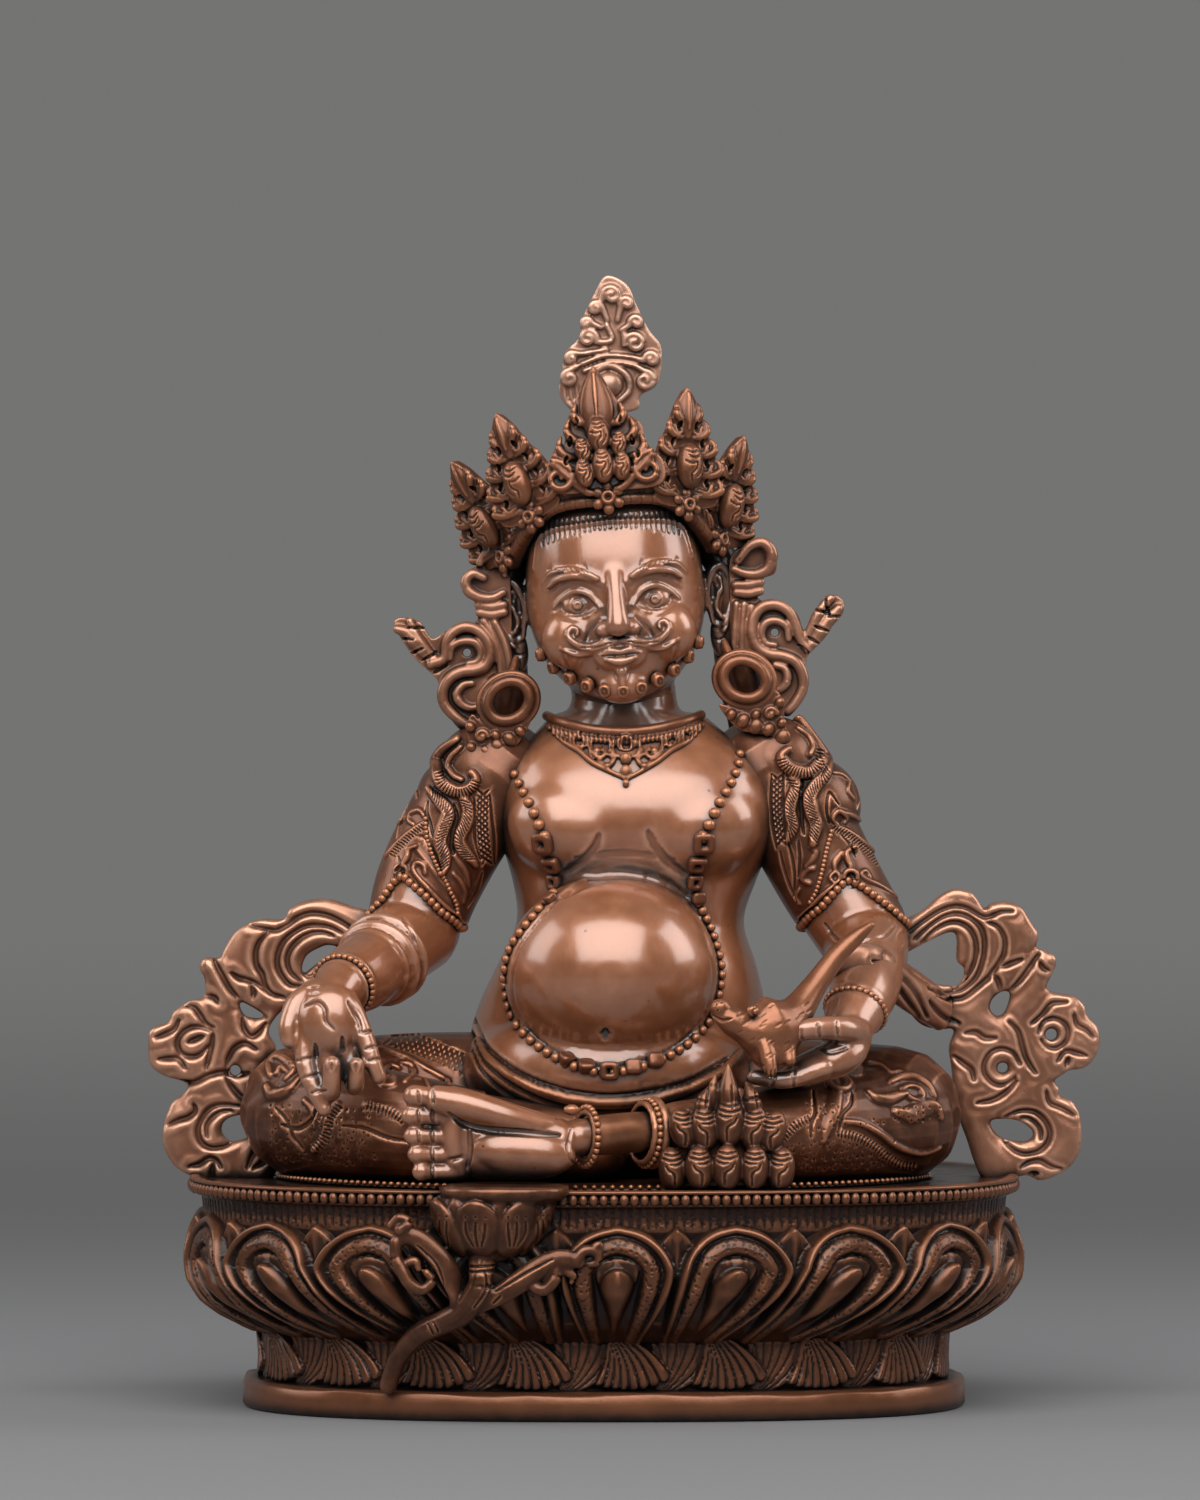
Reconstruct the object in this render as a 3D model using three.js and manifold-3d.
// A seated god of wealth on a lotus pedestal, in patinated copper, cast by lost wax in separate pieces
// that are pinned together. Millimetres, +Z up. The figure faces -Y, and its own right side is at -X.
// The origin is the middle of the face that the pedestal stands on.
import * as THREE from "three";
import { mergeVertices } from "three/addons/utils/BufferGeometryUtils.js";
import Module from "manifold-3d";

const wasm = await Module();
wasm.setup();

// Driving dimensions of the pedestal
const PLINTH_HALF_WIDTH = 70;
const PLINTH_HALF_DEPTH = 48;
const PLINTH_HEIGHT = 5.6;
const WAVE_INSET = 2.4; // the carved wave band stands in from the plinth's edge
const WAVE_HEIGHT = 9.8;
const LOTUS_HEIGHT = 20.8;
const LOTUS_FLARE = 8.5; // how far the grooved collar stands out past the plinth's edge
const PETAL_COUNT = 20;
const PETAL_HALF_WIDTH = 10.6;
const PETAL_BED = 7.3; // how far the bed under the petals stands out past the plinth's edge
const PETAL_RIDGE = 4;
const PETAL_FIELD = 1.6;
const PETAL_BOSS = 5;
const PETAL_SWEEP = 11; // how far a petal's tail runs towards the middle of the front or the back
const COLLAR_HEIGHT = 4.6;
const RIM_HEIGHT = 3.2;
const RIM_OVERHANG = 10.8;
const TOP_DOME = 1.6; // the seat is a little higher than the beaded rim
const WALL = 3.2;
const OVAL_POWER = 2.6;
const OVAL_SIDES = 28;
const HOLLOW_SIDES = 20;
const PLATE_THICKNESS = 1.2;

// Clearances and fixings
const FIT = 0.3;
const DOWEL_RADIUS = 2;
const DOWEL_LENGTH = 12;
const SMALL_DOWEL_RADIUS = 1.1;
const SMALL_DOWEL_LENGTH = 7;

// Driving dimensions of the figure, above the seat
const BELLY_RADIUS = 21;
const BELLY_HEIGHT = 41.5;
const BELLY_FRONT = 23;
const GARLAND_RADIUS = 1.1;
const NECK_HEIGHT = 94; // from the seat to the chin's level
const SHOULDER_DROP = 16; // from the chin's level to the middle of the shoulder joint
const WAIST_HEIGHT = 42;
const ELBOW_HEIGHT = 49;
const NECK_SHIFT = 3.9; // the neck stands a little to the figure's left
const NECK_RADIUS = 9;
const HEAD_TILT = THREE.MathUtils.degToRad(-4.5);
const FACE_HALF_WIDTH = 17.3;
const EYE_RADIUS = 2.9;
const EYE_SPACING = 15.4; // between the pupils
const BEARD_CURL_COUNT = 11;
const BEARD_CURL_RADIUS = 1.5;
const CROWN_BAND_HEIGHT = 5.5;
const CROWN_BAND_LEVEL = 38.4;
const CROWN_BAND_RADIUS = 20.6;
const LEAF_THICKNESS = 2.6;
const ROSETTE_RADIUS = 3.3;
const EARRING_RADIUS = 4.9;
const EARRING_WIRE = 1.75;
const SCARF_THICKNESS = 5;
const SCARF_BEVEL = 1;

const seatLevel = PLINTH_HEIGHT + WAVE_HEIGHT + LOTUS_HEIGHT + COLLAR_HEIGHT + RIM_HEIGHT;
const UP = new THREE.Vector3(0, 0, 1);
const FRONT = new THREE.Vector3(0, -1, 0);
const SIDEWAYS = new THREE.Vector3(1, 0, 0);
const AXLE = new THREE.Vector3(0, 1, 0); // the way that a new lathed or round solid points

const copper = new THREE.MeshStandardMaterial({ color: 0x8a4f33, roughness: 0.36, metalness: 0.9 });
const polished = new THREE.MeshStandardMaterial({ color: 0xa5633f, roughness: 0.26, metalness: 0.95 });
const darkened = new THREE.MeshStandardMaterial({ color: 0x4a2c20, roughness: 0.5, metalness: 0.8 });
const sheet = new THREE.MeshStandardMaterial({ color: 0x7a4a34, roughness: 0.45, metalness: 0.85 });

// A point given as the distance to the side, the distance to the front, and the height
const at = (x, front, z) => new THREE.Vector3(x, -front, z);

// A closed geometry as a solid, whichever way its faces were wound
function solid(geometry, matrix) {
  const bare = geometry.index ? geometry.toNonIndexed() : geometry.clone();
  bare.deleteAttribute("normal");
  bare.deleteAttribute("uv");
  if (matrix) bare.applyMatrix4(matrix);
  const merged = mergeVertices(bare, 1e-4);
  const faces = [];
  const index = merged.index.array;
  for (let i = 0; i < index.length; i += 3) {
    const [a, b, c] = [index[i], index[i + 1], index[i + 2]];
    if (a !== b && b !== c && c !== a) faces.push([a, b, c]);
  }
  const vertProperties = merged.attributes.position.array;
  const make = (list) => {
    const triVerts = new Uint32Array(list.flat());
    return new wasm.Manifold(new wasm.Mesh({ numProp: 3, vertProperties, triVerts }));
  };
  const made = make(faces);
  return made.volume() < 0 ? make(faces.map(([a, b, c]) => [a, c, b])) : made;
}

const joined = (solids) => solids.reduce((whole, next) => whole.add(next));

// The largest body of a cut solid, without the chips that a cut can leave
function largest(whole) {
  return whole.decompose().reduce((best, next) => (next.volume() > best.volume() ? next : best));
}

// A piece cut clear of the grown shapes of the pieces that it seats on
const seated = (whole, ...neighbours) =>
  largest(neighbours.reduce((left, next) => left.subtract(next), whole));

// A skin through rings of equally many points, closed by a fan at each end
function loft(rings, startApex, endApex) {
  const count = rings[0].length;
  const middle = (ring) => ring.reduce((sum, p) => sum.add(p), new THREE.Vector3()).divideScalar(count);
  const last = rings[rings.length - 1];
  const points = [...rings.flat(), startApex ?? middle(rings[0]), endApex ?? middle(last)];
  const startPoint = points.length - 2;
  const faces = [];
  for (let j = 0; j < count; j++) {
    const k = (j + 1) % count;
    for (let i = 0; i + 1 < rings.length; i++) {
      const row = i * count;
      faces.push(row + j, row + k, row + count + k, row + j, row + count + k, row + count + j);
    }
    const row = (rings.length - 1) * count;
    faces.push(startPoint, k, j, startPoint + 1, row + j, row + k);
  }
  const geometry = new THREE.BufferGeometry().setFromPoints(points);
  return solid(geometry.setIndex(faces));
}

// An oval section swept through stations of [x, front, z, half width, half height], with domed ends
function limb(stations, { sides = 10, steps = 2, grow = 0, up = UP } = {}) {
  const path = new THREE.CatmullRomCurve3(stations.map(([x, front, z]) => at(x, front, z)));
  const sizes = new THREE.CatmullRomCurve3(stations.map(([, , , w, h = w]) => new THREE.Vector3(w, h, 0)));
  const count = (stations.length - 1) * steps;
  const frame = (t) => {
    const along = path.getTangent(t);
    const side = new THREE.Vector3().crossVectors(up, along).normalize();
    const lift = new THREE.Vector3().crossVectors(along, side);
    const size = sizes.getPoint(t);
    return { centre: path.getPoint(t), along, side, lift, w: size.x + grow, h: size.y + grow };
  };
  const ring = ({ centre, along, side, lift, w, h }, shrink = 1, shift = 0) =>
    Array.from({ length: sides }, (_, j) => {
      const angle = (2 * Math.PI * j) / sides;
      return centre
        .clone()
        .addScaledVector(along, shift)
        .addScaledVector(side, w * shrink * Math.cos(angle))
        .addScaledVector(lift, h * shrink * Math.sin(angle));
    });
  const first = frame(0);
  const final = frame(1);
  const dome = Math.PI / 4;
  const reach = (f) => Math.min(f.w, f.h);
  const rings = [ring(first, Math.cos(dome), -reach(first) * Math.sin(dome))];
  for (let i = 0; i <= count; i++) rings.push(ring(frame(i / count)));
  rings.push(ring(final, Math.cos(dome), reach(final) * Math.sin(dome)));
  return loft(
    rings,
    first.centre.clone().addScaledVector(first.along, -reach(first)),
    final.centre.clone().addScaledVector(final.along, reach(final)),
  );
}

function ellipsoid([x, front, z], [rx, ry, rz], { grow = 0, sides = 12, rows = 8 } = {}) {
  const ball = new THREE.SphereGeometry(1, sides, rows).rotateX(Math.PI / 2);
  ball.scale(rx + grow, ry + grow, rz + grow).translate(x, -front, z);
  return solid(ball);
}

// A closed ring of equal sections, each a closed line of points
function hoop(sections) {
  const rows = sections[0].length;
  const faces = [];
  sections.forEach((_, i) => {
    const a = i * rows;
    const b = ((i + 1) % sections.length) * rows;
    for (let j = 0; j < rows; j++) {
      const k = (j + 1) % rows;
      faces.push(a + j, b + j, b + k, a + j, b + k, a + k);
    }
  });
  return solid(new THREE.BufferGeometry().setFromPoints(sections.flat()).setIndex(faces));
}

// A round pin along a direction, centred on a point
function pin(centre, direction, radius, length, grow = 0) {
  const rod = new THREE.CylinderGeometry(radius + grow, radius + grow, length + 2 * grow, 12);
  const turn = new THREE.Quaternion().setFromUnitVectors(AXLE, direction.clone().normalize());
  return solid(rod, new THREE.Matrix4().compose(centre, turn, new THREE.Vector3(1, 1, 1)));
}

// A closed smooth outline through points of [x, z]
function outline(points, perSpan = 1) {
  const curve = new THREE.CatmullRomCurve3(points.map(([x, z]) => new THREE.Vector3(x, z, 0)), true);
  return curve.getPoints(points.length * perSpan).slice(0, -1).map((p) => new THREE.Vector2(p.x, p.y));
}

const circle = ([x, z], radius, sides = 10) =>
  Array.from({ length: sides }, (_, i) => {
    const angle = (2 * Math.PI * i) / sides;
    return new THREE.Vector2(x + radius * Math.cos(angle), z + radius * Math.sin(angle));
  });

// An upright plate with eased edges, from back to front of the given thickness
function plate(edge, holes, back, thickness, { bevel = 0.8, grow = 0 } = {}) {
  const facing = (points, clockwise) =>
    THREE.ShapeUtils.isClockWise(points) === clockwise ? points : points.toReversed();
  const shape = new THREE.Shape(facing(edge, false));
  shape.holes = grow ? [] : holes.map((hole) => new THREE.Path(facing(hole, true)));
  const geometry = new THREE.ExtrudeGeometry(shape, {
    depth: thickness - 2 * bevel + 2 * grow,
    bevelThickness: bevel,
    bevelSize: bevel,
    bevelOffset: grow - bevel,
    bevelSegments: 1,
  });
  return solid(geometry.translate(0, 0, back + bevel - grow).rotateX(Math.PI / 2));
}

const mirrored = (points) => points.map(([x, ...rest]) => [-x, ...rest]).reverse();
const turned = (whole, matrix) => whole.transform(matrix.elements);
const placed = (x, front, z, rotation = new THREE.Euler()) =>
  new THREE.Matrix4().makeRotationFromEuler(rotation).setPosition(at(x, front, z));

// The pedestal's plan is a full oval, between an ellipse and a rectangle
function ovalPoint(halfWidth, halfDepth, z, angle) {
  const bend = (v) => Math.sign(v) * Math.abs(v) ** (2 / OVAL_POWER);
  return new THREE.Vector3(bend(Math.cos(angle)) * halfWidth, bend(Math.sin(angle)) * halfDepth, z);
}

const oval = (inset, z, sides = OVAL_SIDES) =>
  Array.from({ length: sides }, (_, i) =>
    ovalPoint(PLINTH_HALF_WIDTH - inset, PLINTH_HALF_DEPTH - inset, z, (2 * Math.PI * i) / sides),
  );

// Evenly spaced stations along the oval, from the middle of the front, each with the way it faces
function ovalStations(inset, count) {
  const fine = 720;
  const ring = Array.from({ length: fine + 1 }, (_, i) => {
    const angle = -Math.PI / 2 + (2 * Math.PI * i) / fine;
    return ovalPoint(PLINTH_HALF_WIDTH - inset, PLINTH_HALF_DEPTH - inset, 0, angle);
  });
  const walked = [0];
  for (let i = 1; i <= fine; i++) walked.push(walked[i - 1] + ring[i].distanceTo(ring[i - 1]));
  return Array.from({ length: count }, (_, n) => {
    const goal = (walked[fine] * n) / count;
    const i = Math.max(1, walked.findIndex((w) => w >= goal));
    const tangent = new THREE.Vector3().subVectors(ring[i], ring[i - 1]).normalize();
    return { place: ring[i], facing: Math.atan2(tangent.y, tangent.x) };
  });
}

const waveTop = PLINTH_HEIGHT + WAVE_HEIGHT;
const lotusTop = waveTop + LOTUS_HEIGHT;
const collarTop = lotusTop + COLLAR_HEIGHT;

// One petal's level sections from its tail up: height, half width, bed, ridge, field, boss and sweep.
// The bed is in millimetres, and the others are shares.
const PETAL_SECTIONS = [
  [0.05, 0.3, -7.4, 0.2, 0.3, 0.1, 1],
  [0.24, 0.64, -3, 0.6, 0.7, 0.5, 0.62],
  [0.46, 0.96, -0.9, 0.92, 0.9, 1, 0.24],
  [0.7, 0.97, 0, 1, 1, 0.95, 0.02],
  [0.9, 0.7, 0.15, 1, 1.5, 0.7, 0],
  [1.07, 0.16, 0.2, 0.5, 1.1, 0.4, 0],
];

// One petal: a ridge round a sunk field with a boss in it, swept towards the middle of its side
function petal({ place, facing }) {
  const clamped = (v) => THREE.MathUtils.clamp(v, -1, 1);
  const sweep = PETAL_SWEEP * Math.sin((Math.PI / 2) * clamped(place.x / 50)) * clamped(-place.y / 20);
  const sections = PETAL_SECTIONS.map(([height, width, bed, ridge, field, boss, tail]) => {
    const half = PETAL_HALF_WIDTH * width;
    const front = [
      [-1, 0],
      [-0.84, PETAL_RIDGE * ridge],
      [-0.5, PETAL_FIELD * field],
      [0, PETAL_BOSS * boss],
      [0.5, PETAL_FIELD * field],
      [0.84, PETAL_RIDGE * ridge],
      [1, 0],
      [0, -3],
    ];
    return front.map(([x, out]) => at(half * x - sweep * tail, bed + out, waveTop + LOTUS_HEIGHT * height));
  });
  return turned(loft(sections), new THREE.Matrix4().makeRotationZ(facing).setPosition(place.x, place.y, 0));
}

function pedestal() {
  const outside = loft([
    oval(-0.4, 0),
    oval(-0.4, PLINTH_HEIGHT - 1),
    oval(0.4, PLINTH_HEIGHT),
    oval(WAVE_INSET, PLINTH_HEIGHT),
    oval(WAVE_INSET, waveTop),
    oval(-PETAL_BED * 0.62, waveTop + LOTUS_HEIGHT * 0.28),
    oval(-PETAL_BED, waveTop + LOTUS_HEIGHT * 0.6),
    oval(-PETAL_BED, lotusTop - 0.6),
    oval(-LOTUS_FLARE, lotusTop),
    oval(-LOTUS_FLARE, collarTop),
    oval(-RIM_OVERHANG, collarTop + RIM_HEIGHT * 0.3),
    oval(-RIM_OVERHANG, collarTop + RIM_HEIGHT * 0.75),
    oval(-RIM_OVERHANG + 2.5, seatLevel - TOP_DOME * 0.4),
    oval(2, seatLevel),
  ]);
  const petals = ovalStations(-PETAL_BED, PETAL_COUNT).map(petal);
  const inside = loft([
    oval(WALL, -1, HOLLOW_SIDES),
    oval(WALL, PLATE_THICKNESS, HOLLOW_SIDES),
    oval(WAVE_INSET + WALL, PLATE_THICKNESS, HOLLOW_SIDES),
    oval(WAVE_INSET + WALL, waveTop, HOLLOW_SIDES),
    oval(WAVE_INSET, seatLevel - TOP_DOME - WALL * 1.5, HOLLOW_SIDES),
  ]);
  return joined([outside, ...petals]).subtract(inside);
}

// The copper sheet let into the pedestal's foot, which shuts the hollow for the filling
const closingPlate = () =>
  loft([0, PLATE_THICKNESS - FIT].map((z) => oval(WALL + FIT, z, HOLLOW_SIDES)));

// The small lotus under the foot, with its stalk and two curling leaves, held to the pedestal's front
const FOOT_LOTUS_SIDE = -18.5;
const FOOT_LOTUS_FRONT = PLINTH_HALF_DEPTH + 11;
const FOOT_LOTUS_RADIUS = 13;
const FOOT_LOTUS_DEPTH = 12;
const FOOT_LOTUS_TOP = 2.2; // above the seat
const STALK_RADIUS = 2;

function footLotus(grow = 0) {
  const top = seatLevel + FOOT_LOTUS_TOP;
  const lathed = (profile) => {
    const line = profile.map(([r, z]) =>
      new THREE.Vector2(r ? r * FOOT_LOTUS_RADIUS + grow : 0, z * FOOT_LOTUS_DEPTH + (z ? -grow : grow)));
    return solid(new THREE.LatheGeometry(line, 12).rotateX(Math.PI / 2));
  };
  const bowl = lathed([[0, -1.14], [0.26, -1.14], [0.56, -0.94], [0.86, -0.56], [0.84, -0.1], [0, -0.1]]);
  const rim = lathed([[0, -0.24], [0.84, -0.24], [0.95, -0.14], [0.93, 0], [0, 0]]);
  const petals = [-2, -1, 0, 1, 2].map((n) => {
    const angle = n * 0.66 - 0.16;
    const out = FOOT_LOTUS_RADIUS * 0.76;
    const leaf = ellipsoid([0, 0, 0], [4.1, 2.4, FOOT_LOTUS_DEPTH * 0.47], { grow, sides: 6, rows: 4 });
    const flared = new THREE.Matrix4().makeRotationX(-0.3);
    const turn = new THREE.Matrix4().makeRotationZ(angle).multiply(flared);
    const place = at(out * Math.sin(angle), out * Math.cos(angle), -FOOT_LOTUS_DEPTH * 0.6);
    return turned(leaf, turn.setPosition(place));
  });
  const flower = turned(joined([bowl, ...petals]), placed(FOOT_LOTUS_SIDE - 2.6, FOOT_LOTUS_FRONT - 1, top));
  const disc = turned(rim, placed(FOOT_LOTUS_SIDE - 0.4, FOOT_LOTUS_FRONT - 1, top));
  const stalkFront = PLINTH_HALF_DEPTH + LOTUS_FLARE;
  const stem = [
    [-4.4, 2.5, 18, STALK_RADIUS + 0.3],
    [-4.9, 3.5, 11.6, STALK_RADIUS + 0.3],
    [-7.7, 1.5, 7, STALK_RADIUS + 0.4],
    [-15.9, -3.5, 2.6, STALK_RADIUS],
    [-20.5, -8, -2.3, STALK_RADIUS - 0.1],
    [-22.8, -9.6, -7.6, STALK_RADIUS - 0.3],
  ];
  const leftLeaf = [
    [-9.7, 2.2, 6.6, 1.8],
    [-10.3, 2.6, 12.6, 2, 1.4],
    [-13.5, 2.4, 18, 2, 1.4],
    [-17.5, 1.8, 20.8, 1.9, 1.4],
    [-20.6, 1.4, 18.6, 1.3],
  ];
  const rightLeaf = [
    [-3.5, 3, 8.1, 1.8],
    [2.3, 3.6, 12.1, 2, 1.4],
    [6.3, 3.6, 15.1, 2.1, 1.4],
    [10.4, 3.2, 16.6, 2, 1.4],
    [14.9, 2.6, 16, 1.3],
  ];
  const along = (stations) => limb(
    stations.map(([x, front, z, ...sizes]) =>
      [FOOT_LOTUS_SIDE + x, stalkFront + front, waveTop + z, ...sizes]),
    { sides: 5, steps: 1, grow, up: FRONT },
  );
  return joined([flower, disc, ...[stem, leftLeaf, rightLeaf].map(along)]);
}

// The torso: level sections of [height, middle, half width, front, back]. The chest stretches with the
// neck's height.
const chestHeight = NECK_HEIGHT - SHOULDER_DROP - 2;
const upTheTrunk = (share) => WAIST_HEIGHT + share * (chestHeight - WAIST_HEIGHT);
const TORSO_SECTIONS = [
  [12, 3, 18, 14, 14],
  [18, 3, 26, 22, 19],
  [26, 3, 29.2, 26, 21.5],
  [34, 3.6, 28, 26, 21.5],
  [WAIST_HEIGHT, 4.6, 25.2, 24, 19.5],
  [upTheTrunk(0.235), 5.2, 21.6, 19.8, 17],
  [upTheTrunk(0.47), 6, 23.4, 19.6, 17],
  [upTheTrunk(0.765), 6.6, 27.2, 23, 19.5],
  [chestHeight, 6.4, 27.4, 22, 19.5],
  [NECK_HEIGHT - 12, 6, 24.4, 17.5, 17.5],
  [NECK_HEIGHT - 7, 5.2, 18.6, 13.4, 14.4],
  [NECK_HEIGHT - 3, 4.6, 14.4, 11.6, 12.6],
];

function levelRing([z, middle, halfWidth, front, back], sides, grow = 0, power = 2.3) {
  const bend = (v) => Math.sign(v) * Math.abs(v) ** (2 / power);
  return Array.from({ length: sides }, (_, i) => {
    const angle = (2 * Math.PI * i) / sides;
    const deep = Math.sin(angle) > 0 ? back + grow : front + grow;
    return new THREE.Vector3(
      middle + bend(Math.cos(angle)) * (halfWidth + grow), bend(Math.sin(angle)) * deep, z);
  });
}

function torso(grow = 0) {
  const spread = (section, i, all) => {
    const ends = grow * (i === 0 ? -1 : i === all.length - 1 ? 1 : 0);
    return levelRing([section[0] + ends, ...section.slice(1)], 14, grow);
  };
  const trunk = loft(TORSO_SECTIONS.map(spread));
  const belly = ellipsoid([1, BELLY_FRONT, BELLY_HEIGHT], [BELLY_RADIUS, BELLY_RADIUS, BELLY_RADIUS],
    { grow, sides: 12, rows: 8 });
  const breasts = [-1, 1].map((side) =>
    ellipsoid([6.5 + side * 12, 12.6, upTheTrunk(0.72)], [12.6, 10.4, 10.4],
      { grow, sides: 7, rows: 4 }));
  return joined([trunk, belly, ...breasts]);
}

// The beaded garland's line round the belly, as a thin cord of the bead's size
function garland(grow = 0) {
  const turns = 14;
  const reach = BELLY_RADIUS + 0.2;
  const lift = 3.5; // the cord lies a little in front of the belly's widest circle
  const ring = Math.sqrt(reach * reach - lift * lift);
  const wire = new THREE.TorusGeometry(ring, GARLAND_RADIUS + grow, 4, turns).rotateX(Math.PI / 2);
  return solid(wire.translate(1, -(BELLY_FRONT + lift), BELLY_HEIGHT));
}

// The legs, wrapped in cloth, on a wide seat. The left one is folded in front, its sole turned outwards.
const THIGH_RADIUS = 13;
const KNEE_RADIUS = 12.4;
const SHIN_RADIUS = 7;
const SOLE_FRONT = 55;
const TOE_COUNT = 5;
const TOE_RADIUS = 1.55;
const TOE_SPACING = 3.7;

function legs(grow = 0) {
  const seat = ellipsoid([3, 4, 11], [31, 27, 16], { grow, sides: 10, rows: 6 });
  const rightThigh = limb(
    [
      [-14, 0, 14, THIGH_RADIUS],
      [-36, 4, 14.4, THIGH_RADIUS],
      [-57.5, 11, KNEE_RADIUS + 1.2, KNEE_RADIUS, KNEE_RADIUS],
    ],
    { sides: 10, steps: 1, grow },
  );
  const rightShin = limb(
    [
      [-57, 14, KNEE_RADIUS, KNEE_RADIUS - 1.6],
      [-40, 27, 11.4, SHIN_RADIUS + 2.6],
      [-20, 32, 9, SHIN_RADIUS + 0.6],
      [-2, 32, 8.2, SHIN_RADIUS],
    ],
    { sides: 6, steps: 1, grow },
  );
  const leftThigh = limb(
    [
      [20, 0, 14, THIGH_RADIUS],
      [38, 5, 13.4, THIGH_RADIUS],
      [56.4, 13, KNEE_RADIUS + 0.6, KNEE_RADIUS, KNEE_RADIUS],
    ],
    { sides: 10, steps: 1, grow },
  );
  const leftShin = limb(
    [
      [57, 16, KNEE_RADIUS - 0.6, KNEE_RADIUS - 2],
      [38, 32, 10.6, SHIN_RADIUS + 1.8],
      [22, 39, 10.4, SHIN_RADIUS + 0.4],
      [14, 43, 10.8, SHIN_RADIUS - 0.6],
    ],
    { sides: 8, steps: 1, grow },
  );
  const ankle = limb([[16, 42, 11, 4.2], [6, 47, 11.4, 3.8], [-2, 51, 11, 3.6]],
    { sides: 7, steps: 1, grow });
  return joined([seat, rightThigh, rightShin, leftThigh, leftShin, ankle]);
}

function foot(grow = 0) {
  const heel = limb(
    [[-5.5, SOLE_FRONT - 1, 8.4, 4.6, 4.8], [-14, SOLE_FRONT, 8.6, 5.2, 5.6],
      [-22, SOLE_FRONT - 1, 8.8, 4.4, 5]],
    { sides: 7, steps: 1, grow },
  );
  const ball = limb(
    [[-17, SOLE_FRONT, 13, 2.6, 2.4], [-24, SOLE_FRONT + 1.4, 15.6, 3, 3],
      [-29.6, SOLE_FRONT + 1, 17.4, 2.8, 2.8]],
    { sides: 7, steps: 1, grow },
  );
  const tread = limb(
    [[-12, SOLE_FRONT - 3, 9.6, 3.2, 6.4], [-22, SOLE_FRONT - 2.4, 10.4, 2.8, 7.6],
      [-30, SOLE_FRONT - 1.8, 10.8, 2.4, 8.8]],
    { sides: 7, steps: 1, grow },
  );
  const toes = Array.from({ length: TOE_COUNT }, (_, i) => {
    const z = 18.4 - i * TOE_SPACING;
    const root = -30 + i * 0.7;
    const size = TOE_RADIUS - i * 0.08;
    return limb(
      [[root + 1.6, SOLE_FRONT - 1.2, z - 0.4, size * 0.9], [root - 3, SOLE_FRONT - 0.4, z, size * 0.86],
        [root - 6.4 + i * 0.35, SOLE_FRONT, z + 0.2, size * 1.14]],
      { sides: 5, steps: 1, grow },
    );
  });
  return joined([heel, ball, tread, ...toes]);
}

// Arms: the upper part with its sleeve, the forearm, a rolled band at the elbow, and the hand
const SHOULDER_RADIUS = 10.4;
const shoulderHeight = NECK_HEIGHT - SHOULDER_DROP;
const downTheArm = (share) => shoulderHeight + share * (ELBOW_HEIGHT - shoulderHeight);
const ELBOW_RADIUS = 8.4;
const WRIST_RADIUS = 5;
const FINGER_RADIUS = 1.35;

function ringOn(centre, along, radius, wire, grow = 0) {
  const turn = new THREE.Quaternion().setFromUnitVectors(UP, along.clone().normalize());
  const band = new THREE.TorusGeometry(radius, wire + grow, 4, 12);
  return solid(band, new THREE.Matrix4().compose(centre, turn, new THREE.Vector3(1, 1, 1)));
}

function rightArm(grow = 0) {
  const upper = limb(
    [
      [-22, 0, shoulderHeight, SHOULDER_RADIUS],
      [-28, 0.5, downTheArm(0.31), SHOULDER_RADIUS - 0.6],
      [-34, 1.5, downTheArm(0.69), SHOULDER_RADIUS - 1],
      [-36.6, 4, ELBOW_HEIGHT, ELBOW_RADIUS],
    ],
    { sides: 7, steps: 1, grow, up: FRONT },
  );
  const fore = limb(
    [
      [-36.5, 3, ELBOW_HEIGHT - 0.5, ELBOW_RADIUS],
      [-41, 12, 45, ELBOW_RADIUS - 0.4],
      [-46, 23, 41.6, ELBOW_RADIUS - 1.4],
      [-50.4, 33, 38.8, WRIST_RADIUS],
      [-52, 37, 36.5, WRIST_RADIUS - 0.4],
    ],
    { sides: 7, steps: 1, grow },
  );
  const roll = ringOn(at(-44.6, 20, 42.2), at(-0.5, 1, -0.35), ELBOW_RADIUS - 0.5, 1.4, grow);
  const palm = ellipsoid([-52.6, 40.4, 31.4], [5.8, 4.6, 7.2], { grow, sides: 6, rows: 4 });
  const finger = (points) => limb(points, { sides: 5, steps: 1, grow });
  const thumb = finger([[-56, 36, 37.6, 2], [-60, 38.4, 35, 1.9], [-60.4, 40.4, 30.2, 1.6]]);
  const index = finger([
    [-57, 39, 28, FINGER_RADIUS + 0.2], [-57.4, 42, 22.5, FINGER_RADIUS],
    [-53.6, 43.4, 15.8, FINGER_RADIUS - 0.1]]);
  const middle = finger([
    [-53, 40, 26, FINGER_RADIUS + 0.3], [-52, 42.6, 19.6, FINGER_RADIUS + 0.1],
    [-51, 45.4, 21.4, FINGER_RADIUS], [-51, 45.6, 25, FINGER_RADIUS]]);
  const third = finger([
    [-49.4, 40, 26, FINGER_RADIUS + 0.2], [-47.6, 42, 20.4, FINGER_RADIUS],
    [-47, 44.6, 22, FINGER_RADIUS], [-46.9, 44.8, 25, FINGER_RADIUS]]);
  const little = finger([
    [-48.6, 38.4, 37, FINGER_RADIUS], [-46.6, 41, 31.6, FINGER_RADIUS],
    [-44.4, 42.6, 26.6, FINGER_RADIUS - 0.1], [-43.4, 43, 21.8, FINGER_RADIUS - 0.2]]);
  return joined([upper, fore, roll, palm, thumb, index, middle, third, little]);
}

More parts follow.
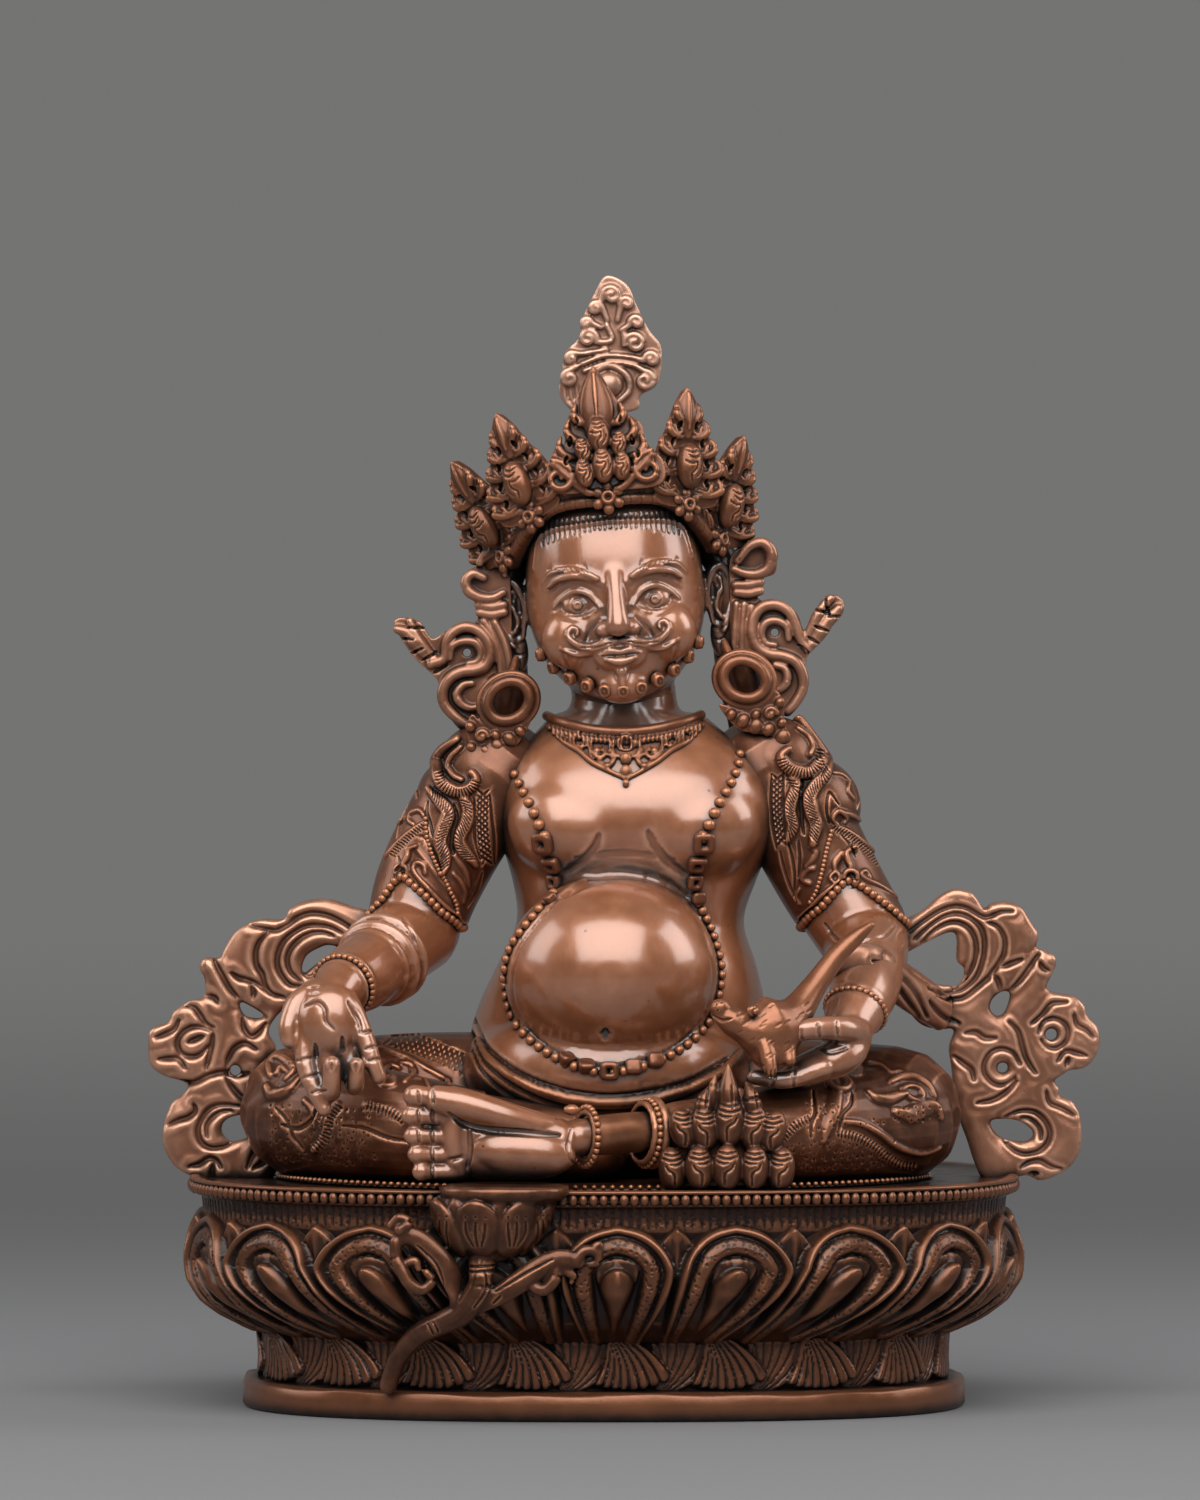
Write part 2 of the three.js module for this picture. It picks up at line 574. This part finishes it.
function leftArm(grow = 0) {
  const upper = limb(
    [
      [32.5, 0, shoulderHeight + 0.5, SHOULDER_RADIUS - 0.6],
      [38, 0.5, downTheArm(0.31), SHOULDER_RADIUS - 1],
      [44.4, 1.5, downTheArm(0.7), SHOULDER_RADIUS - 1.2],
      [50.4, 4, ELBOW_HEIGHT - 1.4, ELBOW_RADIUS],
    ],
    { sides: 7, steps: 1, grow, up: FRONT },
  );
  const fore = limb(
    [
      [51, 3, ELBOW_HEIGHT - 2.5, ELBOW_RADIUS],
      [51.2, 14, 43, ELBOW_RADIUS - 0.8],
      [50, 26, 37, ELBOW_RADIUS - 2],
      [47.4, 34, 32, WRIST_RADIUS],
      [46.4, 37, 29.5, WRIST_RADIUS - 0.4],
    ],
    { sides: 7, steps: 1, grow },
  );
  const palm = limb(
    [[47.4, 36, 29, 4.2, 3.6], [45, 40, 25.6, 4.6, 3.4], [39.5, 42, 23.4, 4.8, 2.6]],
    { sides: 8, steps: 1, grow },
  );
  const thumb = limb(
    [[48.4, 39, 30.4, 2.6], [45.6, 43.6, 31.2, 2.3], [40, 46.6, 31.2, 2], [35.8, 47, 30.2, 1.6]],
    { sides: 6, steps: 1, grow },
  );
  const fingers = [0, 1, 2, 3].map((n) => {
    const front = 46.4 - n * 3.1;
    return limb(
      [
        [42 + n * 0.4, front - 1, 23.6, FINGER_RADIUS + 0.3],
        [35, front, 21.6, FINGER_RADIUS + 0.15],
        [28.8 + n * 0.8, front + 0.4, 22, FINGER_RADIUS],
      ],
      { sides: 5, steps: 1, grow },
    );
  });
  return joined([upper, fore, palm, thumb, ...fingers]);
}

// The mongoose that the left hand holds, with its snout towards the belly and its tail up along the arm
const MONGOOSE_GIRTH = 6.6;

function mongoose(grow = 0) {
  const body = limb(
    [
      [22, 48.6, 34.6, 2.7],
      [25.6, 48.8, 32.2, 3],
      [28.6, 48, 30.6, MONGOOSE_GIRTH * 0.62, MONGOOSE_GIRTH * 0.8],
      [32.6, 46.4, 31.2, MONGOOSE_GIRTH * 0.8, MONGOOSE_GIRTH * 1.02],
      [36.4, 44, 33.8, MONGOOSE_GIRTH * 0.5, MONGOOSE_GIRTH * 0.55],
      [40, 41, 38.6, 2.4],
      [44.6, 37.6, 44.6, 2],
      [51.4, 34.6, 50.6, 1.2],
    ],
    { sides: 8, grow },
  );
  const haunch = ellipsoid([32, 47.6, 27], [4.4, 3.6, 4.2], { grow, sides: 8, rows: 6 });
  return body.add(haunch);
}

// The heap of flaming jewels: two rows of buds and three flames above them, backed by a core
const JEWEL_RADIUS = 2.6;
const JEWEL_HALF_HEIGHT = 4.4;
const HEAP_SIDE = 23.4;
const HEAP_FRONT = 53;
const HEAP_SWEEP = 3.6; // the rows bulge towards the front
const HEAP_BUDS = [
  [-10.4, 4.6], [-5.2, 4.8], [0, 4.9], [5.2, 4.8], [10.4, 4.6], [-8.3, 12.4], [-4.2, 12.6], [0.6, 13.6],
  [5.2, 12.6], [8.8, 11.8],
];
const HEAP_FLAMES = [[0.4, 15, 24.2], [-4.6, 15, 20.2], [5.2, 15, 20.8]];

function jewelHeap(grow = 0) {
  const buds = HEAP_BUDS.map(([side, level]) => {
    const front = HEAP_FRONT + HEAP_SWEEP * Math.cos(side * 0.11) - level * 0.16;
    return ellipsoid([HEAP_SIDE + side, front, level], [JEWEL_RADIUS, JEWEL_RADIUS, JEWEL_HALF_HEIGHT],
      { grow, sides: 5, rows: 4 });
  });
  const flames = HEAP_FLAMES.map(([side, low, high]) => limb(
    [[HEAP_SIDE + side, HEAP_FRONT + 0.6, low, 2.1],
      [HEAP_SIDE + side * 0.9, HEAP_FRONT + 0.9, (low + high) / 2, 1.7],
      [HEAP_SIDE + side * 0.72, HEAP_FRONT + 0.2, high, 0.5]],
    { sides: 5, steps: 1, grow, up: FRONT },
  ));
  const core = limb(
    [[HEAP_SIDE, HEAP_FRONT - 2, 2.2, 11.4, 4.6], [HEAP_SIDE, HEAP_FRONT - 2.4, 10, 9.6, 4.4],
      [HEAP_SIDE, HEAP_FRONT - 2, 18, 4.6, 2.4]],
    { sides: 8, steps: 1, grow, up: FRONT },
  );
  const ground = solid(new THREE.BoxGeometry(60, 40, 20).translate(HEAP_SIDE, -HEAP_FRONT, -10 - grow));
  return joined([core, ...buds, ...flames]).subtract(ground);
}

// The scarves that loop out on each side, as pierced plates: outline and holes as [x, z] above the seat
const LEFT_SCARF_EDGE = [
  [60, 50.5], [65.5, 55], [71, 56.4], [74.5, 52.6], [78.5, 54], [83.5, 50.4], [85, 46], [88.3, 42.6],
  [87, 37.4], [92, 35.5], [94.5, 31.5], [97, 26.5], [94, 21.5], [89.5, 19.6], [89, 16.4], [92, 14],
  [93.5, 8.5], [91, 2.6], [86, 0.4], [80, 1], [74.5, 2.4], [71, 7.5], [68.5, 15.5], [67.6, 23.5], [68, 29],
  [62, 29.6], [57.6, 34], [56, 41],
];
const LEFT_SCARF_HOLES = [
  [[59.6, 42.6], [63, 45.6], [67.5, 47.4], [69, 44.5], [70.2, 40.6], [68, 38], [62.5, 38.8]],
  [[77.8, 36.6], [79.6, 35.6], [78.4, 32.6], [76, 32.2], [75.6, 34.4]],
  [[75.5, 11], [79, 11.6], [83, 10.4], [84, 8.4], [81.5, 7], [77.5, 8]],
];
const LEFT_SCARF_EYES = [[87.5, 28], [78, 21.5]];
const RIGHT_SCARF_EDGE = [
  [-46, 50.4], [-51, 53.8], [-58, 54.4], [-62.4, 50.6], [-67.6, 50.4], [-73, 46.6], [-75.4, 42.6],
  [-79, 41.4], [-77.6, 37], [-82, 34], [-88.4, 29], [-89, 23.6], [-82, 18], [-85.4, 12], [-86, 6],
  [-81, 1.6], [-76, 0.6],
  [-70, 2], [-65, 9], [-66, 17], [-65.4, 25], [-63, 32], [-56, 35.4], [-47, 39],
];
const RIGHT_SCARF_HOLES = [
  [[-53.5, 46], [-57.4, 44.6], [-59, 41.4], [-57.6, 39.6], [-52, 42.2]],
  [[-70.6, 34], [-67.4, 31.8], [-70.6, 31.4]],
  [[-72.6, 12], [-68, 12.4], [-68.4, 8.8], [-72.5, 7], [-74.6, 9.4]],
];
const RIGHT_SCARF_EYES = [[-82.6, 26], [-79, 12.8]];
const SCARF_BACK = -2.5; // its back face, behind the middle of the figure
const EYE_HOLE_RADIUS = 1.1;

function scarf(edge, holes, eyes, strap, grow = 0) {
  const drilled = eyes.map((eye) => circle(eye, EYE_HOLE_RADIUS, 8));
  const rounded = [...holes.map((hole) => outline(hole)), ...drilled];
  const curls = plate(outline(edge), rounded, SCARF_BACK, SCARF_THICKNESS, { bevel: SCARF_BEVEL, grow });
  return curls.add(limb(strap, { sides: 6, steps: 1, grow, up: UP }));
}

const leftScarf = (grow) =>
  scarf(LEFT_SCARF_EDGE, LEFT_SCARF_HOLES, LEFT_SCARF_EYES, [
    [44.6, 26.5, 43.6, 1.4, 3], [52, 25, 42.4, 1.4, 3.2], [59, 14, 37.6, 1.6, 3.4], [66, 3.5, 32.6, 1.8, 3.4],
  ], grow);

const rightScarf = (grow) =>
  scarf(RIGHT_SCARF_EDGE, RIGHT_SCARF_HOLES, RIGHT_SCARF_EYES, [
    [-47, 2, 43, 1.8, 3], [-53, 0.5, 39, 1.8, 3.2], [-60, 0, 34, 2, 3.2],
  ], grow);

// The head, with its level at the chin. Its sections are [height, middle, half width, front, back].
const HEAD_SECTIONS = [
  [-0.6, 0, 4, 15.6, -4],
  [1.6, 0, 8.4, 19.2, 3],
  [5, 0, 12.2, 20.6, 10],
  [10, 0, 15.6, 21.2, 15.6],
  [17, 0, FACE_HALF_WIDTH, 21.2, 18],
  [24, 0, FACE_HALF_WIDTH, 20.4, 19],
  [31, 0, FACE_HALF_WIDTH - 0.5, 19.2, 19],
  [37, 0, FACE_HALF_WIDTH - 1.8, 17, 18],
  [42, 0, FACE_HALF_WIDTH - 5, 13, 14.6],
  [45.5, 0, 8, 8.6, 9.4],
];
const HEAD_POWER = 2.5;
const EYE_LEVEL = 19;
const NOSE_LEVEL = 13.4;
const MOUTH_LEVEL = 8.6;

function skull(grow = 0) {
  const sections = HEAD_SECTIONS.map(([z, ...rest], i, all) => {
    const ends = grow * (i === 0 ? -1 : i === all.length - 1 ? 1 : 0);
    return levelRing([z + ends, ...rest], 12, grow, HEAD_POWER);
  });
  const neck = limb([[0, 0, -8, NECK_RADIUS + 2.4], [0, 0.8, -3, NECK_RADIUS + 0.2], [0, 2, 6, NECK_RADIUS]],
    { sides: 10, steps: 1, grow, up: FRONT });
  const topknot = limb([[0, -2, 42, 8.6], [0, -2.4, 50, 7.4], [0, -2.6, 56, 4.4]],
    { sides: 8, steps: 1, grow, up: FRONT });
  return joined([loft(sections), neck, topknot]);
}

// A long ear, whose lobe carries the earring
const ear = (side, grow = 0) =>
  limb(
    [[side * 17.6, -1.5, 22.4, 1.6, 2.4], [side * 18.4, -1, 17.6, 1.9, 3.4], [side * 18.8, 0.6, 12, 1.6, 2.4],
      [side * 19.8, 3, 6.6, 1.5]],
    { sides: 5, steps: 1, grow, up: FRONT },
  );

// A station on the front of the head, so far out of its skin
function faceAt([x, z, out, ...sizes]) {
  const above = HEAD_SECTIONS.findIndex((section) => section[0] > z);
  const [low, high] = [HEAD_SECTIONS[above - 1], HEAD_SECTIONS[above]];
  const share = (z - low[0]) / (high[0] - low[0]);
  const [halfWidth, front] = [2, 3].map((i) => low[i] + (high[i] - low[i]) * share);
  const depth = front * (1 - Math.min(1, Math.abs(x) / halfWidth) ** HEAD_POWER) ** (1 / HEAD_POWER);
  return [x, depth + out, z, ...sizes];
}

// The face: a plain, evenly proportioned one with the staring eyes, moustache and beard curls of such figures
function faceFeatures() {
  const half = EYE_SPACING / 2;
  const ridge = (stations, settings = {}) => limb(stations.map(faceAt), { sides: 5, steps: 1, ...settings });
  const pairs = [-1, 1].flatMap((side) => [
    ellipsoid(faceAt([side * half, EYE_LEVEL, -1.5]), [EYE_RADIUS * 1.15, EYE_RADIUS, EYE_RADIUS],
      { sides: 6, rows: 4 }),
    ridge([[side * 3.2, EYE_LEVEL + 3.4, -0.2, 0.9], [side * 7.6, EYE_LEVEL + 6, -0.1, 1],
      [side * 12.6, EYE_LEVEL + 5.6, 0, 0.8]]),
    ridge([[side * 0.6, NOSE_LEVEL - 2.4, 0, 1.1], [side * 4.8, NOSE_LEVEL - 3, 0, 1],
      [side * 8.4, NOSE_LEVEL - 2, 0, 0.8], [side * 10.2, NOSE_LEVEL, 0, 0.8]]),
    ear(side),
    ellipsoid(faceAt([side * 2.6, NOSE_LEVEL, 0.6]), [1.8, 1.9, 1.5], { sides: 6, rows: 4 }),
  ]);
  const nose = ridge(
    [[0, EYE_LEVEL + 3, -0.4, 1.4], [0, EYE_LEVEL - 1.4, 0.6, 1.6], [0, NOSE_LEVEL + 0.2, 2.2, 2]],
    { sides: 7, up: FRONT },
  );
  const lip = (half, corner, middle, out) =>
    ridge([[-half, MOUTH_LEVEL + corner, -0.2, 0.8], [0, MOUTH_LEVEL + middle, out, 1],
      [half, MOUTH_LEVEL + corner, -0.2, 0.8]]);
  return joined([...pairs, nose, lip(4.6, 1, 0.4, 0.3), lip(3.4, -0.6, -1.4, 0.2)]);
}

// The curls of the beard, set along the jaw from ear to ear
const JAW_SWEEP = 1.44;

function beardCurls() {
  const profile = [
    [0, 0],
    [1, 0],
    [0.8, 0.8],
    [0, 1.3],
  ].map(([r, z]) => new THREE.Vector2(r * BEARD_CURL_RADIUS, (z - 0.3) * BEARD_CURL_RADIUS * 1.4));
  const curl = new THREE.LatheGeometry(profile, 5);
  return Array.from({ length: BEARD_CURL_COUNT }, (_, i) => {
    const angle = JAW_SWEEP * ((2 * i) / (BEARD_CURL_COUNT - 1) - 1);
    const z = 1.7 + 9.4 * (1 - Math.cos(angle));
    const [x, front] = faceAt([Math.sin(angle) * (11 + 0.42 * z), z, -0.4]);
    const outward = new THREE.Vector3(Math.sin(angle), -Math.cos(angle), -0.5).normalize();
    const turn = new THREE.Quaternion().setFromUnitVectors(new THREE.Vector3(0, 1, 0), outward);
    return solid(curl, new THREE.Matrix4().compose(at(x, front, z), turn, new THREE.Vector3(1, 1, 1)));
  });
}

const head = () => joined([skull(), faceFeatures(), ...beardCurls()]);

// The crown: a band round the brow that dips towards the ears, with a leaf and a rosette at five places
const BAND_DIP = 11;
const bandDip = (angle) => BAND_DIP * Math.sin(Math.min(Math.abs(angle), Math.PI / 2)) ** 4;

function crownBand(grow = 0) {
  const profile = [
    [16.4 - CROWN_BAND_RADIUS, -CROWN_BAND_HEIGHT / 2 - grow],
    [grow, -CROWN_BAND_HEIGHT / 2 - grow],
    [grow + 0.6, 0],
    [grow, CROWN_BAND_HEIGHT / 2 + grow],
    [16.4 - CROWN_BAND_RADIUS, CROWN_BAND_HEIGHT / 2 + grow],
  ];
  const turns = 18;
  const ring = Array.from({ length: turns }, (_, i) => {
    const angle = (2 * Math.PI * i) / turns;
    const turn = angle > Math.PI ? 2 * Math.PI - angle : angle;
    return profile.map(([out, z]) =>
      at((CROWN_BAND_RADIUS + out) * Math.sin(angle), (CROWN_BAND_RADIUS + out) * Math.cos(angle),
        CROWN_BAND_LEVEL + z - bandDip(turn)));
  });
  return hoop(ring);
}

// The crown's five stations: name, place on the band and facing in degrees, lean, leaf width and height
const CROWN_STATIONS = [
  ["outer_right", -76, -52, 26, 13, 20],
  ["inner_right", -44, -32, 12, 12.5, 20],
  ["front", 0, 0, 0, 23, 25.5],
  ["inner_left", 44, 32, 7, 12.5, 21.5],
  ["outer_left", 76, 52, 19, 13, 19.5],
];

// Half of a leaf's outline from its foot up, as shares of its width and height
const SIDE_LEAF_HALF = [[0.36, 0], [0.5, 0.2], [0.36, 0.38], [0.38, 0.52], [0.22, 0.68], [0.12, 0.88]];
const FRONT_LEAF_HALF = [[0.42, 0], [0.5, 0.2], [0.35, 0.4], [0.37, 0.54], [0.2, 0.63], [0.09, 0.84]];

function leafEdge(halfOutline, width, height) {
  const right = halfOutline.map(([x, z]) => [x * width, z * height]);
  return outline([...right, [0, height], ...mirrored(right)]);
}

// A station's own frame: on the band, facing its own way, and laid back a little
function crownFrame([, degrees, facing, lean], out, z) {
  const angle = THREE.MathUtils.degToRad(degrees);
  const outwards = Math.sign(degrees) * THREE.MathUtils.degToRad(lean);
  const laidBack = new THREE.Matrix4().makeRotationX(THREE.MathUtils.degToRad(8));
  const place = at(Math.sin(angle) * out, Math.cos(angle) * out, z - bandDip(angle));
  return new THREE.Matrix4()
    .makeTranslation(place.x, place.y, place.z)
    .multiply(new THREE.Matrix4().makeRotationY(outwards))
    .multiply(new THREE.Matrix4().makeRotationZ(THREE.MathUtils.degToRad(facing)))
    .multiply(laidBack);
}

function crownLeaf(station, grow = 0) {
  const [, , , , width, height] = station;
  const half = station[0] === "front" ? FRONT_LEAF_HALF : SIDE_LEAF_HALF;
  const edge = leafEdge(half, width, height);
  const blade = plate(edge, [], -LEAF_THICKNESS / 2, LEAF_THICKNESS, { bevel: 0.6, grow });
  const bud = limb(
    [[0, LEAF_THICKNESS / 2, height * 0.16, 2.3, 1.6], [0, LEAF_THICKNESS / 2 + 0.6, height * 0.34, 2.5, 1.9],
      [0, LEAF_THICKNESS / 2, height * 0.5, 1.2, 1]],
    { sides: 5, steps: 1, grow, up: FRONT },
  );
  const out = CROWN_BAND_RADIUS + LEAF_THICKNESS / 2 - 0.4;
  return turned(blade.add(bud), crownFrame(station, out, CROWN_BAND_LEVEL + 1.4));
}

function rosetteEdge() {
  const lobes = 6;
  return Array.from({ length: lobes * 2 }, (_, i) => {
    const angle = (2 * Math.PI * i) / (lobes * 2);
    const radius = ROSETTE_RADIUS * (i % 2 ? 0.78 : 1);
    return new THREE.Vector2(radius * Math.cos(angle), radius * Math.sin(angle));
  });
}

const ROSETTE_THICKNESS = 2;

function rosette(station, grow = 0) {
  const flower = plate(rosetteEdge(), [], 0, ROSETTE_THICKNESS, { bevel: 0.5, grow });
  const boss = solid(new THREE.CylinderGeometry(1.1 + grow, 1.3 + grow, 1.2 + grow, 6).rotateX(Math.PI / 2)
    .translate(0, -ROSETTE_THICKNESS - 0.4, 0));
  return turned(flower.add(boss), crownFrame(station, CROWN_BAND_RADIUS + 0.9, CROWN_BAND_LEVEL));
}

// The plate of scrolling leaf on top of the topknot, as [x, z] from the chin
const FINIAL_EDGE = [
  [3, 82], [5.6, 79.4], [8, 75], [9, 71], [12.6, 67.4], [11.4, 63.4], [11.4, 60.2], [8, 59.2], [7.6, 56],
  [2.5, 54.6], [-3, 55.4], [-8, 57.6], [-8, 62.4], [-5.4, 67], [-3, 70.4], [-1.8, 75], [0.4, 79.4],
];
const FINIAL_THICKNESS = 4.4;
const FINIAL_BACK = -4.8;

const finial = (grow) => plate(outline(FINIAL_EDGE), [], FINIAL_BACK, FINIAL_THICKNESS, { bevel: 1, grow });

// The crown's ribbons, each with a bow, a curl and a forked end, as [x, z] from the chin
const LEFT_RIBBON_EDGE = [
  [22.6, 29.6], [26.7, 28.6], [31.4, 26.9], [31.4, 22], [28, 19.4], [28.6, 16.6], [32.2, 16.1], [35.1, 13.6],
  [36.2, 9.4], [41.2, 16.6], [44, 14.4], [40.9, 9.7], [36.4, 4.9], [35.3, -1], [31.6, -5.4], [28.1, -1.6],
  [24.9, 5.4], [21.8, 8.3], [22.2, 17.5],
];
const RIGHT_RIBBON_EDGE = [
  [-21.3, 31.7], [-20.2, 27.1], [-20.4, 18.8], [-21.4, 8], [-25.3, 4.6], [-27.5, 0.3], [-30.6, -5],
  [-34.6, 0.2], [-35.9, 5.6], [-40.6, 11.3], [-43.6, 16.8], [-41.1, 18.7], [-38.3, 17.5],
  [-36.3, 14.3], [-33.3, 15.7],
  [-28.6, 16.4], [-26.9, 20.6], [-29.4, 24], [-25.9, 28.3],
];
const RIBBON_EYE = [30, 10.6];
const RIBBON_THICKNESS = 4;
const RIBBON_BACK = -3.4;

function ribbon(side, grow = 0) {
  const edge = outline(side > 0 ? LEFT_RIBBON_EDGE : RIGHT_RIBBON_EDGE);
  const [x, z] = RIBBON_EYE;
  return plate(edge, [circle([side * x, z], 1, 8)], RIBBON_BACK, RIBBON_THICKNESS, { bevel: 0.9, grow });
}

const DROP_EDGE = [[20.4, -5], [24.6, -3.6], [27.6, -1.4], [29.6, -5.6], [30.6, -10.6], [25.6, -9]];

function earring(side, grow = 0) {
  const wire = new THREE.TorusGeometry(EARRING_RADIUS, EARRING_WIRE + grow, 5, 12).scale(1.12, 0.94, 1);
  const hoop = solid(wire.rotateX(Math.PI / 2).rotateY(side * 0.5).translate(side * 22.8, -8, 0.6));
  const dropEdge = DROP_EDGE.map(([x, z]) => [side * x, z]);
  const drop = plate(outline(dropEdge), [], 6.6, 2.6, { bevel: 0.5, grow });
  const hook = limb([[side * 20.6, 2.6, 6.4, 1.2], [side * 21, 5.4, 5.8, 1], [side * 21.6, 7.8, 4.8, 1]],
    { sides: 6, steps: 1, grow, up: UP });
  return joined([hoop, drop, hook]);
}

// The collar: a pierced lace of scrolls that follows the chest below the neck
const COLLAR_EDGE = [
  [-11.4, -3], [-8.6, -8.4], [-3.4, -11], [0.6, -13.6], [4.7, -16.6], [9, -13.6], [13.4, -10.8], [18.6, -7.6],
  [21.6, -2.4], [15.4, -5.6], [10, -7.2], [4.7, -8], [-0.6, -7.4], [-6, -6],
].map(([x, drop]) => [x, NECK_HEIGHT + drop]);
const COLLAR_THICKNESS = 1.3;

function collar(grow = 0) {
  const lace = plate(outline(COLLAR_EDGE), [], 6, 24, { bevel: 0.01, grow });
  return lace.intersect(torso(FIT + COLLAR_THICKNESS + grow)).subtract(torso(FIT - grow));
}

// The pins
const chinLevel = new THREE.Matrix4().makeRotationY(HEAD_TILT).setPosition(NECK_SHIFT, 0, NECK_HEIGHT);
const headPin = (grow = 0) =>
  pin(at(NECK_SHIFT, 0, NECK_HEIGHT - 13.4), UP, DOWEL_RADIUS, DOWEL_LENGTH, grow);
const armPin = (side, grow = 0) =>
  pin(at(side > 0 ? 31 : -18.6, 0, shoulderHeight - 4), SIDEWAYS, DOWEL_RADIUS, DOWEL_LENGTH, grow);
const seatPin = (side, grow = 0) =>
  pin(at(3 + side * 14, -4, -1), UP, DOWEL_RADIUS, DOWEL_LENGTH, grow);
const scarfPin = (x, grow = 0) => pin(at(x, 0, 0.5), UP, SMALL_DOWEL_RADIUS, SMALL_DOWEL_LENGTH, grow);
const SCARF_PIN_PLACES = { left: 77, right: -75 };

const raised = (whole, height) => whole.translate(0, 0, height);
const onHead = (whole) => turned(whole, chinLevel);

const statue = new THREE.Group();
const figure = new THREE.Group();
figure.position.z = seatLevel;
const crownGroup = new THREE.Group();
crownGroup.position.set(NECK_SHIFT, 0, NECK_HEIGHT);
crownGroup.rotation.y = HEAD_TILT;
statue.add(figure);
figure.add(crownGroup);

// Adds a solid to a group as a named mesh
function add(group, name, whole, material) {
  const { vertProperties, triVerts } = whole.getMesh();
  const geometry = new THREE.BufferGeometry();
  geometry.setAttribute("position", new THREE.BufferAttribute(new Float32Array(vertProperties), 3));
  geometry.setIndex(new THREE.BufferAttribute(new Uint32Array(triVerts), 1));
  geometry.computeVertexNormals();
  const mesh = new THREE.Mesh(geometry, material);
  mesh.name = name;
  group.add(mesh);
}

const pinHoles = [1, -1].map((side) => seatPin(side, FIT));
const scarfHoles = Object.values(SCARF_PIN_PLACES).map((x) => scarfPin(x, FIT));

const topHoles = [...pinHoles, ...scarfHoles].map((hole) => raised(hole, seatLevel));
add(statue, "lotus_pedestal", seated(pedestal(), footLotus(FIT), ...topHoles), copper);
add(statue, "closing_plate", closingPlate(), sheet);
add(statue, "foot_lotus", footLotus(), copper);

const trunk = torso().add(garland());
const chin = onHead(skull(FIT));
add(figure, "torso", seated(trunk, chin, headPin(FIT), armPin(1, FIT), armPin(-1, FIT)), polished);

const heldAnimal = mongoose(FIT);
add(figure, "mongoose", mongoose(), copper);
add(figure, "right_arm", seated(rightArm(), torso(FIT), armPin(-1, FIT)), polished);
add(figure, "left_arm", seated(leftArm(), torso(FIT), heldAnimal, armPin(1, FIT)), polished);

const floor = solid(new THREE.BoxGeometry(300, 300, 40).translate(0, 0, -20));
add(figure, "legs",
  seated(legs().add(foot()), torso(FIT), garland(FIT), rightArm(FIT), leftArm(FIT), heldAnimal, floor,
    jewelHeap(FIT), ...pinHoles),
  darkened);
add(figure, "jewel_heap", jewelHeap(), copper);
add(figure, "left_scarf",
  seated(leftScarf(0), leftArm(FIT), legs(FIT), scarfHoles[0], floor), copper);
add(figure, "right_scarf",
  seated(rightScarf(0), rightArm(FIT), legs(FIT), scarfHoles[1], floor), copper);
add(figure, "collar", collar(), copper);

add(crownGroup, "head", seated(head(), turned(headPin(FIT), chinLevel.clone().invert())), polished);
add(crownGroup, "crown_band", seated(crownBand(), skull(FIT)), copper);
for (const station of CROWN_STATIONS) {
  const name = station[0];
  add(crownGroup, `crown_rosette_${name}`, seated(rosette(station), crownBand(FIT), skull(FIT)), copper);
  add(crownGroup, `crown_leaf_${name}`,
    seated(crownLeaf(station), crownBand(FIT), skull(FIT), rosette(station, FIT)), copper);
}
add(crownGroup, "topknot_finial", seated(finial(0), skull(FIT)), copper);
for (const [name, side] of [["left", 1], ["right", -1]]) {
  const station = CROWN_STATIONS[side > 0 ? 4 : 0];
  const shoulder = [torso(FIT), side > 0 ? leftArm(FIT) : rightArm(FIT)].map((whole) =>
    turned(whole, chinLevel.clone().invert()));
  const near = [crownLeaf(station, FIT), rosette(station, FIT), crownBand(FIT)];
  add(crownGroup, `${name}_ribbon`,
    seated(ribbon(side), ...near, skull(FIT), ear(side, FIT), ...shoulder), copper);
  add(crownGroup, `${name}_earring`,
    seated(earring(side), ribbon(side, FIT), skull(FIT), ear(side, FIT), ...shoulder), copper);
}
add(figure, "head_pin", headPin(), sheet);
add(figure, "left_arm_pin", armPin(1), sheet);
add(figure, "right_arm_pin", armPin(-1), sheet);
add(figure, "left_seat_pin", seatPin(1), sheet);
add(figure, "right_seat_pin", seatPin(-1), sheet);
add(figure, "left_scarf_pin", scarfPin(SCARF_PIN_PLACES.left), sheet);
add(figure, "right_scarf_pin", scarfPin(SCARF_PIN_PLACES.right), sheet);

export default statue;
